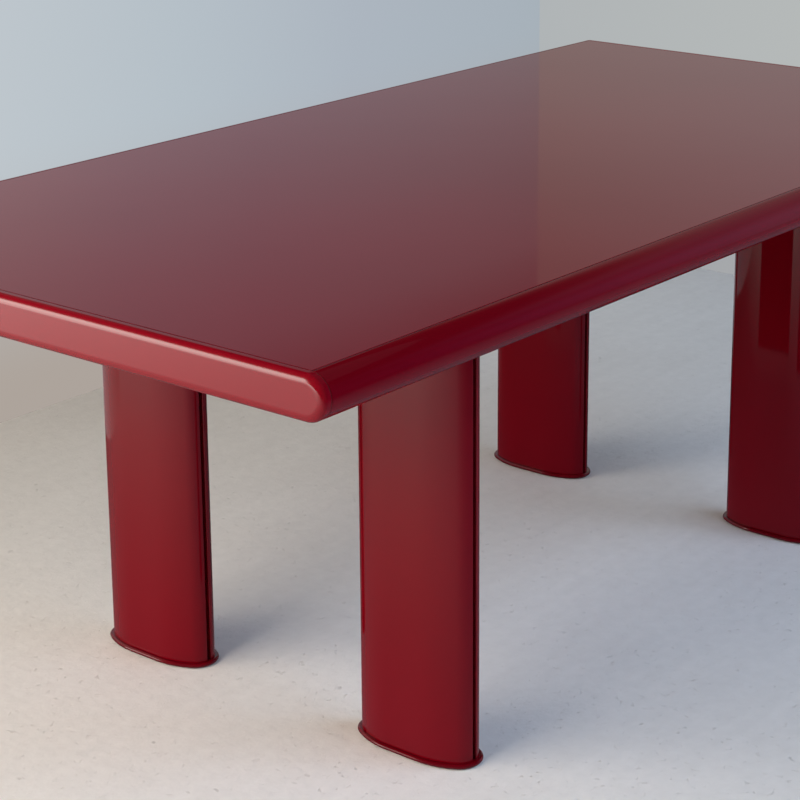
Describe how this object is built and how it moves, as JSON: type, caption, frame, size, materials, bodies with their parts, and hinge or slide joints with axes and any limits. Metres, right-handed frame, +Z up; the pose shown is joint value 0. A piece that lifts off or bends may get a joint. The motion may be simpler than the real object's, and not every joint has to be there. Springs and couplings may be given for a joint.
{
  "type": "dining table",
  "caption": "Rectangular dining table in deep red gloss lacquer, with a half-round edged top on slotted oval legs that stand on rounded base plates.",
  "frame": {"origin": "on the floor under the centre of the top", "axes": "+X along the table's length, +Y across it, +Z up"},
  "size_m": [2.01, 1.05, 0.745],
  "materials": {
    "lacquered_wood": "deep red high-gloss lacquer over timber and board",
    "lacquered_steel": "deep red high-gloss lacquer over steel",
    "plywood": "raw sawn plywood",
    "softwood": "raw planed softwood",
    "beech": "raw planed beech",
    "zinc_steel": "bright zinc plate",
    "rubber": "matt black sheet rubber"
  },
  "bodies": {
    "root": {"top_panel": "lacquered_wood", "bottom_panel": "lacquered_wood", "front_rail": "lacquered_wood", "back_rail": "lacquered_wood", "left_end_rail": "lacquered_wood", "right_end_rail": "lacquered_wood", "core_side_bars": "softwood", "core_end_bars": "softwood", "long_ribs": "plywood", "cross_ribs": "plywood", "mount_blocks": "beech", "side_splines": "beech", "end_splines": "beech", "rail_dowels": "beech", "front_left_outer_shell": "lacquered_wood", "front_left_inner_shell": "lacquered_wood", "front_left_spine": "lacquered_wood", "front_left_formers": "plywood", "front_left_base_plate": "lacquered_steel", "front_right_outer_shell": "lacquered_wood", "front_right_inner_shell": "lacquered_wood", "front_right_spine": "lacquered_wood", "front_right_formers": "plywood", "front_right_base_plate": "lacquered_steel", "back_left_outer_shell": "lacquered_wood", "back_left_inner_shell": "lacquered_wood", "back_left_spine": "lacquered_wood", "back_left_formers": "plywood", "back_left_base_plate": "lacquered_steel", "back_right_outer_shell": "lacquered_wood", "back_right_inner_shell": "lacquered_wood", "back_right_spine": "lacquered_wood", "back_right_formers": "plywood", "back_right_base_plate": "lacquered_steel", "tie_rods": "zinc_steel", "sleeve_nuts": "zinc_steel", "threaded_inserts": "zinc_steel", "foot_pads": "rubber"}
  },
  "joints": []
}
